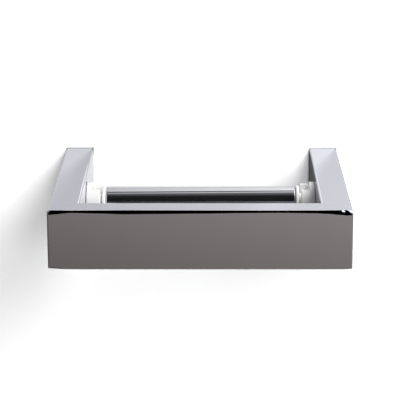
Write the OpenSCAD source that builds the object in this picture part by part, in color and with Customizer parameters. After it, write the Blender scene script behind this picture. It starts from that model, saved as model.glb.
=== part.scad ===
// Wall mounted toilet roll holder: a U-shaped frame of chromed rectangular tube
// with a chromed roller that drops into two white plastic cradles.
//
// The wall is the plane Y = 0 and the holder stands out towards -Y. X runs along
// the wall, Z is up, and the origin lies midway between the four wall screws.
// Left and right are as seen by someone who faces the wall.

/* [Frame] */
// Overall width across the two arms
frame_w = 160; // [140:1:200]
// Depth from the wall to the front face
frame_d = 138; // [124:1:180]
// Height of the arms and of the front bar
bar_h = 32; // [28:1:40]
// Thickness of the arms and of the front bar
bar_t = 16; // [15:0.5:22]
// Wall thickness of the rectangular tube
tube_wall = 2.5; // [1.6:0.1:3]
// Radius of the polished edges
edge_r = 1.5; // [0.5:0.1:2.5]

/* [Wall brackets] */
// Thickness of the plate that the wall screws clamp
plate_t = 3; // [2:0.1:5]
// Radius of the plate's corners
plate_corner_r = 1.5; // [0.5:0.1:3]
// Gap between a bracket and the tube that slides over it
bracket_gap = 0.2; // [0.1:0.05:0.5]
// Distance between the upper and the lower wall screw
wall_screw_pitch = 17; // [15:0.5:18]
// Diameter of the holes for the wall screws
wall_hole_d = 4.5; // [3.5:0.1:5.5]
// Thickness of the tongue between the wall screws
tongue_t = 7; // [5:0.1:8]
// Length of the tongue in front of the plate
tongue_l = 20; // [16:0.5:30]

/* [Lock screws] */
// Thread diameter of the grub screws under the arms
lock_screw_d = 5; // [3:0.1:6]
// Distance from the wall to a grub screw's axis
lock_screw_y = 13; // [10:0.5:16]
// Depth that a grub screw sits below the arm's surface
lock_screw_inset = 0.5; // [0:0.1:1.5]
// Depth of the seat in the tongue that a grub screw ends in
lock_seat = 1; // [0.4:0.1:2]
// Length of a grub screw's tapered point
lock_point_l = 1.2; // [0.5:0.1:2]
// Width across the flats of the hexagon socket
lock_socket_af = 2.5; // [1.5:0.1:3]
// Depth of the hexagon socket
lock_socket_l = 3; // [1.5:0.1:5]

/* [Cradles] */
// Diameter of a cradle
cradle_d = 22; // [20:0.5:28]
// Thickness of the cradle's base behind the slot
base_t = 3.2; // [2.8:0.1:6]
// Depth of the slot along the roller
slot_l = 4.7; // [3:0.1:8]
// Width of the open slot
slot_w = 11.8; // [9.6:0.1:14]
// Gap between the slot's round bottom and the pin that rests in it
seat_gap = 0.2; // [0.1:0.05:0.4]
// Radius of the cradle's rim
cradle_edge_r = 0.8; // [0.3:0.1:1.5]
// Diameter of the peg that keeps a cradle upright
peg_d = 3; // [2:0.1:4]
// Distance of the peg below the roller's axis
peg_drop = 7.5; // [7:0.1:8]
// Length of the peg that stands behind the base
peg_l = 2.2; // [1:0.1:2.4]

/* [Cradle screws] */
// Thread diameter of the countersunk screws
screw_d = 4; // [3:0.1:5]
// Diameter of the countersunk head
screw_head_d = 7.6; // [6:0.1:8.6]
// Length of the screw, head included
screw_l = 10; // [9:0.5:12]
// Depth of the cross recess in the head
recess_depth = 1.4; // [0.6:0.1:1.8]
// Span of the cross recess
recess_span = 4; // [2:0.1:5]
// Width of each arm of the cross recess
recess_w = 0.8; // [0.4:0.1:1.2]
// Diameter of the threaded boss brazed inside the arm
boss_d = 9; // [7:0.5:12]
// Length of the threaded boss
boss_l = 4; // [3:0.5:6]
// Gap between a thread and the metal it bites in
thread_gap = 0.05; // [0.02:0.01:0.1]
// Gap round a screw or a peg in a plain hole
hole_gap = 0.15; // [0.05:0.05:0.3]

/* [Roller] */
// Distance from the wall to the roller's axis
roller_y = 61; // [50:1:70]
// Outside diameter of the roller's tube
roller_d = 17; // [14:0.5:22]
// Wall thickness of the roller's tube
roller_wall = 1; // [0.6:0.1:1.5]
// Bevel inside the ends of the roller's tube
roller_bevel = 0.3; // [0.1:0.1:0.5]
// Diameter of the white end flanges
flange_d = 17.8; // [15:0.1:24]
// Thickness of the end flanges
flange_t = 1.9; // [1.2:0.1:4]
// Gap between a flange and its cradle
end_play = 0.9; // [0.3:0.1:2]
// Gap between the tube's end and a flange
side_gap = 0.2; // [0.1:0.05:0.5]
// Diameter of the pins that lie in the cradles
pin_d = 9.2; // [8:0.1:9.4]
// Gap between a pin's end and the cradle's base
pin_end_gap = 0.35; // [0.2:0.05:1]
// Bevel round a pin's end
pin_bevel = 0.6; // [0.2:0.1:1.2]

/* [End plugs and axle] */
// Gap between a plug's journal and the tube that turns on it
running_gap = 0.05; // [0.02:0.01:0.1]
// Length of a plug's journal inside the tube
journal_l = 14; // [8:0.5:25]
// Wall thickness of the hollow journal
journal_wall = 1.5; // [1:0.1:2]
// Thickness of the web that closes a journal behind its flange
web_t = 2; // [1:0.1:4]
// Wall of the hub that grips the axle
hub_wall = 1.6; // [1:0.1:2]
// Thickness of the ribs between hub and journal
rib_t = 1.4; // [0.8:0.1:2]
// Number of ribs
rib_count = 4; // [3:1:8]
// Diameter of the steel axle that joins the plugs
axle_d = 5; // [3:0.5:6]
// Gap between the axle's end and the bottom of its hole
axle_end_gap = 0.2; // [0.1:0.05:0.5]

/* [Hidden] */
$fn = 72;

// How far a cut runs past the surface it opens
overrun = 1;

// Frame
inner_x = frame_w / 2 - bar_t;
inner_y = frame_d - bar_t;
arm_x = frame_w / 2 - bar_t / 2;
hollow_t = bar_t - 2 * tube_wall;
hollow_h = bar_h - 2 * tube_wall;

// Wall brackets
bracket_w = hollow_t - 2 * bracket_gap;
bracket_h = hollow_h - 2 * bracket_gap;

// Lock screws
lock_bottom = -bar_h / 2 + lock_screw_inset;
lock_top = -tongue_t / 2 + lock_seat;
lock_l = lock_top - lock_bottom;
lock_point_share = 0.5;

// Cradles
cradle_r = cradle_d / 2;
slot_r = slot_w / 2;
slot_z = slot_r - pin_d / 2 - seat_gap;
base_x = inner_x - base_t;
cradle_x = base_x - slot_l;

// Cradle screws
screw_head_l = (screw_head_d - screw_d) / 2;

// Roller, from the cradles inwards
flange_x = cradle_x - end_play;
shoulder_x = flange_x - flange_t;
tube_half = shoulder_x - side_gap;
pin_end_x = base_x - pin_end_gap;
bore_r = roller_d / 2 - roller_wall;
journal_r = bore_r - running_gap;
journal_x = shoulder_x - journal_l;
hub_r = axle_d / 2 + hub_wall;
axle_half = shoulder_x - web_t;

// A rectangle with round corners, centred
module round_rect(w, h, r) {
    square([w - 2 * r, h], center = true);
    square([w, h - 2 * r], center = true);
    for (sx = [-1, 1], sy = [-1, 1])
        translate([sx * (w / 2 - r), sy * (h / 2 - r)])
            circle(r);
}

// A front view outline carried from the wall towards the room
module towards_room(l) {
    rotate([90, 0, 0])
        linear_extrude(l)
            children();
}

// A side view outline carried from x0 to x1
module along_x(x0, x1) {
    translate([x0, 0, 0])
        rotate([90, 0, 90])
            linear_extrude(x1 - x0)
                children();
}

// A round bar on a line parallel to X
module rod_x(r, x0, x1) {
    translate([x0, 0, 0])
        rotate([0, 90, 0])
            cylinder(r = r, h = x1 - x0);
}

// Moves what is drawn round the X axis to the roller's axis
module at_roller() {
    translate([0, -roller_y, 0])
        children();
}

// The plan view triangle on one side of the right-hand mitre
module mitre_waste(third_x, third_y) {
    linear_extrude(bar_h + 2 * overrun, center = true)
        polygon([
            [inner_x - overrun, -inner_y + overrun],
            [frame_w / 2 + overrun, -frame_d - overrun],
            [third_x, third_y]
        ]);
}

// What rounding takes off the right-hand upright corner
module corner_waste() {
    linear_extrude(bar_h + 2 * overrun, center = true)
        translate([frame_w / 2 - edge_r, -frame_d + edge_r])
            difference() {
                translate([0, -edge_r - overrun])
                    square(edge_r + overrun);
                circle(edge_r);
            }
}

// The right-hand arm, mitred at the front and open at the wall
module arm() {
    difference() {
        translate([arm_x, 0, 0])
            towards_room(frame_d)
                round_rect(bar_t, bar_h, edge_r);
        mitre_waste(inner_x - overrun, -frame_d - overrun);
        corner_waste();
        translate([arm_x - hollow_t / 2, -frame_d + tube_wall, -hollow_h / 2])
            cube([hollow_t, frame_d - tube_wall + overrun, hollow_h]);
        at_roller() {
            rod_x(screw_d / 2 + hole_gap, inner_x - overrun, arm_x);
            translate([0, 0, -peg_drop])
                rod_x(peg_d / 2 + hole_gap, inner_x - overrun, arm_x);
        }
        translate([arm_x, -lock_screw_y, -bar_h / 2 - overrun])
            cylinder(r = lock_screw_d / 2 + thread_gap, h = bar_h / 2);
    }
}

// The bar across the front, mitred at both ends
module bar() {
    difference() {
        along_x(-frame_w / 2, frame_w / 2)
            translate([-frame_d + bar_t / 2, 0])
                round_rect(bar_t, bar_h, edge_r);
        for (side = [0, 1])
            mirror([side, 0, 0]) {
                mitre_waste(frame_w / 2 + overrun, -inner_y + overrun);
                corner_waste();
            }
        translate([-frame_w / 2, -frame_d + tube_wall, -hollow_h / 2])
            cube([frame_w, hollow_t, hollow_h]);
    }
}

// The right-hand wall bracket: a screwed plate with a tongue for the lock screw
module wall_bracket() {
    translate([arm_x, 0, 0])
        difference() {
            union() {
                towards_room(plate_t)
                    round_rect(bracket_w, bracket_h, plate_corner_r);
                translate([-bracket_w / 2, -plate_t - tongue_l, -tongue_t / 2])
                    cube([bracket_w, plate_t + tongue_l, tongue_t]);
            }
            for (up = [-1, 1])
                translate([0, overrun, up * wall_screw_pitch / 2])
                    towards_room(plate_t + 2 * overrun)
                        circle(wall_hole_d / 2);
            translate([0, -lock_screw_y, -tongue_t / 2 - overrun])
                cylinder(r = lock_screw_d / 2 + hole_gap, h = lock_seat + overrun);
        }
}

// A grub screw: straight thread, tapered point, hexagon socket below
module lock_screw() {
    r = lock_screw_d / 2;
    straight = lock_l - lock_point_l;
    translate([arm_x, -lock_screw_y, lock_bottom])
        difference() {
            union() {
                cylinder(r = r, h = straight);
                translate([0, 0, straight])
                    cylinder(r1 = r, r2 = r * lock_point_share, h = lock_point_l);
            }
            translate([0, 0, -overrun])
                cylinder(d = lock_socket_af / cos(30), h = lock_socket_l + overrun, $fn = 6);
        }
}

// A round boss whose free rim is rounded, from z = 0 up
module rimmed_disc(r, h, edge) {
    rotate_extrude() {
        translate([0, edge])
            square([r, h - edge]);
        square([r - edge, h]);
        translate([r - edge, edge])
            intersection() {
                circle(edge);
                translate([-edge, -edge])
                    square([2 * edge, edge]);
            }
    }
}

// The slot that the pin drops into from above
module slot_outline() {
    translate([0, slot_z])
        circle(slot_r);
    translate([-slot_r, slot_z])
        square([slot_w, cradle_r + overrun]);
}

// The right-hand cradle with its base and peg
module cradle() {
    at_roller()
        difference() {
            union() {
                translate([cradle_x, 0, 0])
                    rotate([0, 90, 0])
                        rimmed_disc(cradle_r, slot_l + base_t, cradle_edge_r);
                translate([0, 0, -peg_drop])
                    rod_x(peg_d / 2, base_x + base_t / 2, inner_x + peg_l);
            }
            along_x(cradle_x - overrun, base_x)
                slot_outline();
            rod_x(screw_d / 2 + hole_gap, base_x, inner_x + overrun);
            countersink(hole_gap);
        }
}

// The cone of a countersunk head, grown by a gap
module countersink(gap) {
    translate([base_x, 0, 0])
        rotate([0, 90, 0])
            cylinder(r1 = screw_head_d / 2 + gap, r2 = screw_d / 2 + gap, h = screw_head_l);
}

// The screw that holds the right-hand cradle, with its cross recess
module cradle_screw() {
    at_roller()
        difference() {
            union() {
                countersink(0);
                rod_x(screw_d / 2, base_x + screw_head_l / 2, base_x + screw_l);
            }
            for (turn = [0, 90])
                translate([base_x + recess_depth / 2, 0, 0])
                    rotate([turn, 0, 0])
                        cube([recess_depth, recess_span, recess_w], center = true);
        }
}

// The threaded boss inside the right-hand arm
module threaded_boss() {
    start = inner_x + tube_wall;
    at_roller()
        difference() {
            rod_x(boss_d / 2, start, start + boss_l);
            rod_x(screw_d / 2 + thread_gap, start - overrun, start + boss_l + overrun);
        }
}

// The right-hand end plug: journal, flange and pin in one moulding
module end_plug() {
    at_roller()
        difference() {
            union() {
                difference() {
                    rod_x(journal_r, journal_x, shoulder_x + flange_t / 2);
                    rod_x(journal_r - journal_wall, journal_x - overrun, axle_half);
                }
                rod_x(hub_r, journal_x, shoulder_x);
                for (i = [0 : rib_count - 1])
                    rotate([360 * i / rib_count, 0, 0])
                        translate([journal_x, 0, -rib_t / 2])
                            cube([journal_l - web_t / 2, journal_r - journal_wall / 2, rib_t]);
                flange();
                rod_x(pin_d / 2, shoulder_x, pin_end_x - pin_bevel);
                translate([pin_end_x - pin_bevel, 0, 0])
                    rotate([0, 90, 0])
                        cylinder(r1 = pin_d / 2, r2 = pin_d / 2 - pin_bevel, h = pin_bevel);
            }
            rod_x(axle_d / 2, journal_x - overrun, axle_half);
        }
}

// A disc with a full round rim
module flange() {
    rim_r = flange_t / 2;
    translate([shoulder_x + rim_r, 0, 0])
        rotate([0, 90, 0])
            rotate_extrude() {
                translate([0, -rim_r])
                    square([flange_d / 2 - rim_r, flange_t]);
                intersection() {
                    translate([flange_d / 2 - rim_r, 0])
                        circle(rim_r);
                    translate([0, -rim_r])
                        square([flange_d / 2, flange_t]);
                }
            }
}

// Pieces of the frame
module front_bar() { color("silver") bar(); }
module right_arm() { color("silver") arm(); }
module left_arm() { color("silver") mirror([1, 0, 0]) arm(); }

// Pieces that fix the frame to the wall
module right_wall_bracket() { color("slategray") wall_bracket(); }
module left_wall_bracket() { color("slategray") mirror([1, 0, 0]) wall_bracket(); }
module right_lock_screw() { color("dimgray") lock_screw(); }
module left_lock_screw() { color("dimgray") mirror([1, 0, 0]) lock_screw(); }

// Pieces that carry the roller
module right_cradle() { color("white") cradle(); }
module left_cradle() { color("white") mirror([1, 0, 0]) cradle(); }
module right_cradle_screw() { color("lightgray") cradle_screw(); }
module left_cradle_screw() { color("lightgray") mirror([1, 0, 0]) cradle_screw(); }
module right_threaded_boss() { color("goldenrod") threaded_boss(); }
module left_threaded_boss() { color("goldenrod") mirror([1, 0, 0]) threaded_boss(); }

// Pieces of the roller
module right_end_plug() { color("white") end_plug(); }
module left_end_plug() { color("white") mirror([1, 0, 0]) end_plug(); }

module roller_tube() {
    color("gainsboro")
        at_roller()
            difference() {
                rod_x(roller_d / 2, -tube_half, tube_half);
                rod_x(bore_r, -tube_half - overrun, tube_half + overrun);
                for (side = [0, 1])
                    mirror([side, 0, 0])
                        translate([tube_half - roller_bevel, 0, 0])
                            rotate([0, 90, 0])
                                cylinder(r1 = bore_r, r2 = bore_r + roller_bevel, h = roller_bevel);
            }
}

module axle_rod() {
    color("darkgray")
        at_roller()
            rod_x(axle_d / 2, -axle_half + axle_end_gap, axle_half - axle_end_gap);
}

front_bar();
left_arm();
right_arm();
left_wall_bracket();
right_wall_bracket();
left_lock_screw();
right_lock_screw();
left_cradle();
right_cradle();
left_cradle_screw();
right_cradle_screw();
left_threaded_boss();
right_threaded_boss();
roller_tube();
left_end_plug();
right_end_plug();
axle_rod();
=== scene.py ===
"""Looks of a wall mounted toilet roll holder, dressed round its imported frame.

The wall is the plane Y = 0, the holder stands out towards -Y, X runs along the wall and Z is up.
All lengths are in metres. Left and right are as seen by someone who faces the wall.
"""

import logging
import math
from dataclasses import dataclass, field
from enum import Enum, IntEnum
from functools import reduce
from typing import Mapping, Optional, Sequence, Union

import bmesh
import bpy
from mathutils import Matrix, Vector


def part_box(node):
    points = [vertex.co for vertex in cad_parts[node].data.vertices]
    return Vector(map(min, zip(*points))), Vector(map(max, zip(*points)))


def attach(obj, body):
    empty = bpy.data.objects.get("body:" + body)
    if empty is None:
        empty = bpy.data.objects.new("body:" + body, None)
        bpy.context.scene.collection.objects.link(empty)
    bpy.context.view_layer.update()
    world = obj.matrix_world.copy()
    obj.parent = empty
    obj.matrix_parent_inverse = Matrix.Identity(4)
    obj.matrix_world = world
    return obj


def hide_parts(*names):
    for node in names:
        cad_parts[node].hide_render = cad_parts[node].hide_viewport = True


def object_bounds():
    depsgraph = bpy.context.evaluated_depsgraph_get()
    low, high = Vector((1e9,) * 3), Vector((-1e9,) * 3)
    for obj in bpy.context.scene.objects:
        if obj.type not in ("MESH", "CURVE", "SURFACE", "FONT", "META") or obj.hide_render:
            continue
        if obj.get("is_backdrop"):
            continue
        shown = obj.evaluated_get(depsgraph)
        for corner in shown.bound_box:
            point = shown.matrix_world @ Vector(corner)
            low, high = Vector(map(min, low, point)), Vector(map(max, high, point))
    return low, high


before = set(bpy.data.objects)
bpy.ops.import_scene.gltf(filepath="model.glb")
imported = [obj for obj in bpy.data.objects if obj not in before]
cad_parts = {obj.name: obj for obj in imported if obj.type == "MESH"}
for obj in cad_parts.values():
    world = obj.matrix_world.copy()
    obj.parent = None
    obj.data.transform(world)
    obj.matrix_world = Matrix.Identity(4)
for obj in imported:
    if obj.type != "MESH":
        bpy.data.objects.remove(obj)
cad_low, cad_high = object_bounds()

log = logging.getLogger("toilet_roll_holder")

MM = 0.001
MERGE_DISTANCE = 0.001 * MM
SLIVER_DISTANCE = 0.0005 * MM
# An edge that turns by more than this many degrees stays sharp
SHARP_DEGREES = 35.0
FLAT_FACE_WEIGHT = 100
ROD_STEPS = 64
# Sizes that two sub-assemblies share: the cradle's peg, its drop below the screw, and the roller's pin
PEG_RADIUS = 1.5 * MM
PEG_DROP = 7.5 * MM
PIN_RADIUS = 4.6 * MM

Socket = bpy.types.NodeSocket
Piece = bpy.types.Object
Mesh = bmesh.types.BMesh
Vert = bmesh.types.BMVert
Value = Union[float, Sequence[float], Socket]
Feeds = Mapping[str, Value]
Point2 = tuple[float, float]
Point3 = tuple[float, float, float]
Rgb = tuple[float, float, float]
Stops = tuple[Point2, ...]


class Body(Enum):
    """The moving bodies that pieces ride on."""

    FRAME = "frame"
    CORE = "roller_core"
    SLEEVE = "roller_sleeve"


class TubeEdge(IntEnum):
    """The long edges of the frame's tube, in the order of its section."""

    OUTER_BOTTOM = 0
    OUTER_TOP = 1
    INNER_TOP = 2
    INNER_BOTTOM = 3


class Side(Enum):
    """One side of the holder; the value is the sign of X there."""

    LEFT = -1
    RIGHT = 1

    @property
    def word(self) -> str:
        """The side's name as it stands in node names."""
        return self.name.lower()

    def of(self, pair: Point2) -> float:
        """This side's value in a pair for left and right."""
        return pair[1] if self is Side.RIGHT else pair[0]

    def outwards(self, node: str) -> list[float]:
        """How far out from the middle a node on this side starts and ends."""
        return sorted(self.value * corner.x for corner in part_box(f"{self.word}_{node}"))


# Shader helpers


class Graph:
    """Adds and links nodes in one node tree."""

    def __init__(self, tree: bpy.types.NodeTree) -> None:
        """Starts on a tree, which keeps the nodes that it has."""
        self.tree = tree

    def feed(self, socket: Socket, value: Value) -> None:
        """Links a socket to another, or sets its own value.

        Args:
            socket: the input to fill.
            value: an output socket, a number, or a vector or colour.
        """
        if isinstance(value, Socket):
            self.tree.links.new(value, socket)
        else:
            socket.default_value = value

    def add(self, kind: str, feeds: Optional[Feeds] = None, **options: object) -> bpy.types.Node:
        """Adds one node.

        Args:
            kind: the node's Blender type.
            feeds: what goes into its inputs, by their names.
            options: properties to set on it.

        Returns:
            The new node.
        """
        node = self.tree.nodes.new(kind)
        for key, value in options.items():
            setattr(node, key, value)
        for label, value in (feeds or {}).items():
            self.feed(node.inputs[label], value)
        return node

    def chain(self, kind: str, *values: Value, **options: object) -> Socket:
        """Adds a node and fills its inputs in order.

        Args:
            kind: the node's Blender type.
            values: what goes into its inputs.
            options: properties to set on it.

        Returns:
            Its first output.
        """
        node = self.add(kind, **options)
        for socket, value in zip(node.inputs, values):
            self.feed(socket, value)
        return node.outputs[0]

    def math(self, operation: str, *values: Value) -> Socket:
        """One step of arithmetic."""
        return self.chain("ShaderNodeMath", *values, operation=operation)

    def product(self, *values: Value) -> Socket:
        """Values multiplied with each other."""
        return reduce(lambda first, second: self.math("MULTIPLY", first, second), values)

    def where(self, mask: Value, level: Value) -> Socket:
        """A factor that is 1 where the mask is 0, and the level where it is 1."""
        return self.math("MULTIPLY_ADD", mask, self.math("SUBTRACT", level, 1.0), 1.0)

    def scaled(self, vector: Value, factor: Value) -> Socket:
        """A vector or colour times a number."""
        feeds = {"Vector": vector, "Scale": factor}
        return self.add("ShaderNodeVectorMath", feeds, operation="SCALE").outputs[0]

    def mix(self, share: Value, first: Value, second: Value) -> Socket:
        """Two colours mixed by the share of the second."""
        feeds = {"Factor": share, "A": first, "B": second}
        return self.add("ShaderNodeMix", feeds, data_type="RGBA").outputs["Result"]

    def mix_shader(self, share: Value, first: Value, second: Value) -> Socket:
        """Two shaders mixed by the share of the second."""
        return self.chain("ShaderNodeMixShader", share, first, second)

    def noise(self, vector: Value, scale: Value, detail: float, roughness: float = 0.5) -> Socket:
        """Soft noise between 0 and 1, with finer layers in it and a strength for those."""
        feeds = {"Vector": vector, "Scale": scale, "Detail": detail, "Roughness": roughness}
        return self.add("ShaderNodeTexNoise", feeds).outputs["Fac"]

    def smooth(self, value: Value, low: Value, high: Value, to: Point2 = (0.0, 1.0)) -> Socket:
        """A value carried smoothly over from one range to another."""
        feeds = {"Value": value, "From Min": low, "From Max": high, "To Min": to[0], "To Max": to[1]}
        return self.add("ShaderNodeMapRange", feeds, interpolation_type="SMOOTHSTEP").outputs[0]

    def within(self, value: Value, rise: Point2, fall: Point2) -> Socket:
        """A mask that comes over one range of a value and goes over a later one."""
        return self.product(self.smooth(value, *rise), self.smooth(value, *fall, (1.0, 0.0)))

    def axes(self, places: str) -> Sequence[Socket]:
        """The X, Y and Z of the Object or Generated places."""
        vector = self.add("ShaderNodeTexCoord").outputs[places]
        return self.add("ShaderNodeSeparateXYZ", {"Vector": vector}).outputs

    def ramp(self, value: Value, stops: Sequence[tuple[float, Rgb]]) -> Socket:
        """Turns a value into a colour by way of stops.

        Args:
            value: the value, from 0 to 1.
            stops: places and colours in order.

        Returns:
            The colour.
        """
        node = self.add("ShaderNodeValToRGB", {"Fac": value})
        elements = node.color_ramp.elements
        ready = len(elements)
        for index, (place, colour) in enumerate(stops):
            element = elements[index] if index < ready else elements.new(place)
            element.position = place
            element.color = rgba(colour)
        return node.outputs[0]

    def profile(self, value: Value, stops: Stops) -> Socket:
        """A level that changes with a value along straight lines between stops.

        Args:
            value: the value.
            stops: values, rising or falling, and the levels there.

        Returns:
            The level.
        """
        start, end = stops[0][0], stops[-1][0]
        top = max(level for _, level in stops)
        feeds = {"Value": value, "From Min": start, "From Max": end}
        share = self.add("ShaderNodeMapRange", feeds).outputs[0]
        shades = [((place - start) / (end - start), (level / top,) * 3) for place, level in stops]
        return self.product(self.ramp(share, shades), top)

    def surface(self, shader: Socket) -> None:
        """Makes a shader the material's own."""
        self.feed(self.tree.nodes["Material Output"].inputs["Surface"], shader)


def rgba(colour: Rgb) -> tuple[float, float, float, float]:
    """A colour with its full alpha."""
    return (*colour, 1.0)


def bare_material(name: str) -> tuple[bpy.types.Material, Graph]:
    """Starts a material that has only its output.

    Args:
        name: its name.

    Returns:
        The material and its graph.
    """
    made = bpy.data.materials.new(name)
    made.use_nodes = True
    made.node_tree.nodes.remove(made.node_tree.nodes["Principled BSDF"])
    return made, Graph(made.node_tree)


@dataclass
class Effects:
    """Surface effects that several finishes share, as shader node groups built once.

    A detail is how many finer layers a noise has, and a roughness is how strong they are.
    """

    tone_detail: float = 3.0
    film_detail: float = 4.0
    film_roughness: float = 0.6
    film_range: Point2 = (0.45, 0.75)
    # Spots in the film: how much finer they are, and how strong
    spot_ratio: float = 14.0
    spot_detail: float = 2.0
    spot_range: Point2 = (0.3, 0.7)
    spot_levels: Point2 = (0.4, 1.0)
    ripple_detail: float = 1.0
    grain_ratio: float = 30.0
    grain_detail: float = 2.0
    line_detail: float = 5.0
    line_roughness: float = 0.7
    line_range: Point2 = (0.35, 0.65)

    def __post_init__(self) -> None:
        """Builds every group."""
        self.tone = self.make_tone()
        self.smudges = self.make_smudges()
        self.ripple = self.make_ripple()
        self.hairlines = self.make_hairlines()

    @staticmethod
    def group(name: str, output: str, *inputs: str) -> tuple[Graph, dict[str, Socket], Socket]:
        """Starts a node group. Sockets called Vector or Color are that, and the others are numbers.

        Args:
            name: the group's name.
            output: its output's name.
            inputs: its inputs' names.

        Returns:
            The graph to build in, what comes in by name, and the socket for what goes out.
        """
        tree = bpy.data.node_groups.new(name, "ShaderNodeTree")
        kinds = {"Vector": "NodeSocketVector", "Color": "NodeSocketColor"}
        for label, way in [(label, "INPUT") for label in inputs] + [(output, "OUTPUT")]:
            kind = kinds.get(label, "NodeSocketFloat")
            tree.interface.new_socket(name=label, in_out=way, socket_type=kind)
        graph = Graph(tree)
        given = {socket.name: socket for socket in graph.add("NodeGroupInput").outputs}
        return graph, given, graph.add("NodeGroupOutput").inputs[0]

    def make_tone(self) -> bpy.types.NodeTree:
        """Builds the colour that drifts a little over the surface.

        Returns:
            The group.
        """
        graph, given, result = self.group("tone_drift", "Color", "Vector", "Color", "Spread", "Scale")
        drift = graph.noise(given["Vector"], given["Scale"], self.tone_detail)
        centred = graph.math("SUBTRACT", drift, 0.5)
        factor = graph.math("MULTIPLY_ADD", centred, given["Spread"], 1.0)
        graph.feed(result, graph.scaled(given["Color"], factor))
        return graph.tree

    def make_smudges(self) -> bpy.types.NodeTree:
        """Builds the roughness that rises where hands and water have left a film.

        Returns:
            The group.
        """
        graph, given, result = self.group("smudges", "Roughness", "Vector", "Roughness", "Spread", "Scale")
        patches = graph.noise(given["Vector"], given["Scale"], self.film_detail, self.film_roughness)
        spot_scale = graph.product(given["Scale"], self.spot_ratio)
        spots = graph.noise(given["Vector"], spot_scale, self.spot_detail)
        film = graph.product(graph.smooth(patches, *self.film_range),
                             graph.smooth(spots, *self.spot_range, self.spot_levels))
        graph.feed(result, graph.math("MULTIPLY_ADD", film, given["Spread"], given["Roughness"]))
        return graph.tree

    def make_ripple(self) -> bpy.types.NodeTree:
        """Builds the height of a skin that is not quite flat, with a finer grain in it.

        Returns:
            The group.
        """
        graph, given, result = self.group("ripple", "Height", "Vector", "Scale", "Grain")
        broad = graph.noise(given["Vector"], given["Scale"], self.ripple_detail)
        grain_scale = graph.product(given["Scale"], self.grain_ratio)
        grain = graph.noise(given["Vector"], grain_scale, self.grain_detail)
        graph.feed(result, graph.math("MULTIPLY_ADD", grain, given["Grain"], broad))
        return graph.tree

    def make_hairlines(self) -> bpy.types.NodeTree:
        """Builds the height of fine lines that a tool leaves, read on stretched places.

        Returns:
            The group.
        """
        graph, given, result = self.group("hairlines", "Height", "Vector", "Scale")
        lines = graph.noise(given["Vector"], given["Scale"], self.line_detail, self.line_roughness)
        graph.feed(result, graph.smooth(lines, *self.line_range))
        return graph.tree


@dataclass(frozen=True)
class Finish:
    """One finish: a colour and the way the surface was made. Its name is the name of its material."""

    name: str
    colour: Rgb
    metallic: float
    roughness: float
    tone_spread: float = 0.03
    smudge_spread: float = 0.04
    smudge_scale: float = 60.0
    ripple_height: float = 0.002 * MM
    ripple_scale: float = 60.0
    grain: float = 0.0
    line_height: float = 0.0
    line_stretch: Point3 = (1.0, 1.0, 1.0)
    line_scale: float = 2500.0
    specular: float = 0.5
    coat: float = 0.0
    coat_roughness: float = 0.35

    def material(self, effects: Effects) -> bpy.types.Material:
        """Builds the material.

        Args:
            effects: the shared node groups.

        Returns:
            The new material.
        """
        made = bpy.data.materials.new(self.name)
        made.use_nodes = True
        graph = Graph(made.node_tree)
        inputs = made.node_tree.nodes["Principled BSDF"].inputs
        places = graph.add("ShaderNodeTexCoord").outputs["Object"]

        def effect(group: bpy.types.NodeTree, **feeds: Value) -> Socket:
            """The output of a shared group that is read at this material's places."""
            return graph.add("ShaderNodeGroup", {"Vector": places, **feeds}, node_tree=group).outputs[0]

        inputs["Metallic"].default_value = self.metallic
        inputs["Specular IOR Level"].default_value = self.specular
        inputs["Coat Weight"].default_value = self.coat
        inputs["Coat Roughness"].default_value = self.coat_roughness
        graph.feed(inputs["Base Color"], effect(
            effects.tone, Color=rgba(self.colour), Spread=self.tone_spread, Scale=self.smudge_scale))
        graph.feed(inputs["Roughness"], effect(
            effects.smudges, Roughness=self.roughness, Spread=self.smudge_spread, Scale=self.smudge_scale))
        height = effect(effects.ripple, Scale=self.ripple_scale, Grain=self.grain)
        bump = graph.add("ShaderNodeBump", {"Distance": self.ripple_height, "Height": height}).outputs[0]
        if self.line_height:
            mapping = graph.add("ShaderNodeMapping", {"Vector": places, "Scale": self.line_stretch})
            height = effect(effects.hairlines, Vector=mapping.outputs[0], Scale=self.line_scale)
            feeds = {"Distance": self.line_height, "Height": height, "Normal": bump}
            bump = graph.add("ShaderNodeBump", feeds).outputs[0]
        graph.feed(inputs["Normal"], bump)
        return made


FRAME_CHROME = Finish("frame_chrome", (0.560, 0.566, 0.642), metallic=1.0, roughness=0.02,
                      tone_spread=0.02, smudge_spread=0.03, ripple_height=0.004 * MM, ripple_scale=45.0)
ROLLER_CHROME = Finish("roller_chrome", (0.585, 0.590, 0.620), metallic=0.985, roughness=0.045,
                       tone_spread=0.03, smudge_spread=0.03, ripple_height=0.004 * MM, ripple_scale=70.0,
                       line_height=0.0006 * MM, line_stretch=(0.02, 1.0, 1.0), coat=0.6)
CRADLE_PLASTIC = Finish("cradle_plastic", (0.92, 0.92, 0.91), metallic=0.0, roughness=0.33,
                        smudge_spread=0.08, ripple_height=0.01 * MM, ripple_scale=150.0, grain=0.1)
PLUG_PLASTIC = Finish("plug_plastic", (0.92, 0.92, 0.91), metallic=0.0, roughness=0.30,
                      smudge_spread=0.08, ripple_height=0.01 * MM, ripple_scale=150.0, grain=0.1)
BRACKET_STEEL = Finish("bracket_steel", (0.52, 0.52, 0.53), metallic=1.0, roughness=0.30,
                       tone_spread=0.12, smudge_spread=0.12, grain=0.15,
                       line_height=0.01 * MM, line_stretch=(0.04, 1.0, 1.0))
SCREW_STEEL = Finish("screw_steel", (0.44, 0.44, 0.45), metallic=1.0, roughness=0.28,
                     tone_spread=0.12, smudge_spread=0.12, smudge_scale=200.0, grain=0.2,
                     line_height=0.006 * MM)
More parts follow.
